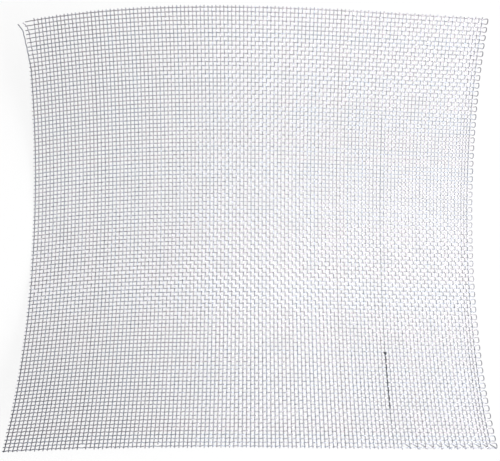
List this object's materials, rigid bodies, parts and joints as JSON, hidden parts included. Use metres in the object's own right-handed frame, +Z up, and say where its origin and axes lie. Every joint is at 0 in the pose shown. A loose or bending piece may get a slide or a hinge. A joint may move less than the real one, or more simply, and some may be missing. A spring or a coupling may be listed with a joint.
{
  "type": "wire gauze",
  "caption": "Square sheet of plain woven steel wire gauze for use over a burner, curled one way and gently arched the other, with cut edges, a turned edge and a frayed corner wire.",
  "frame": {"origin": "middle of the sheet's footprint, on the surface that it lies on", "axes": "+X along the weft wires towards the turned edge, +Y along the warp wires towards the frayed corner, +Z up"},
  "size_m": [0.1538, 0.1402, 0.0301],
  "materials": {
    "galvanised_wire": "bright drawn wire with a thin zinc coat"
  },
  "bodies": {
    "root": {"gauze": "galvanised_wire"}
  },
  "joints": []
}
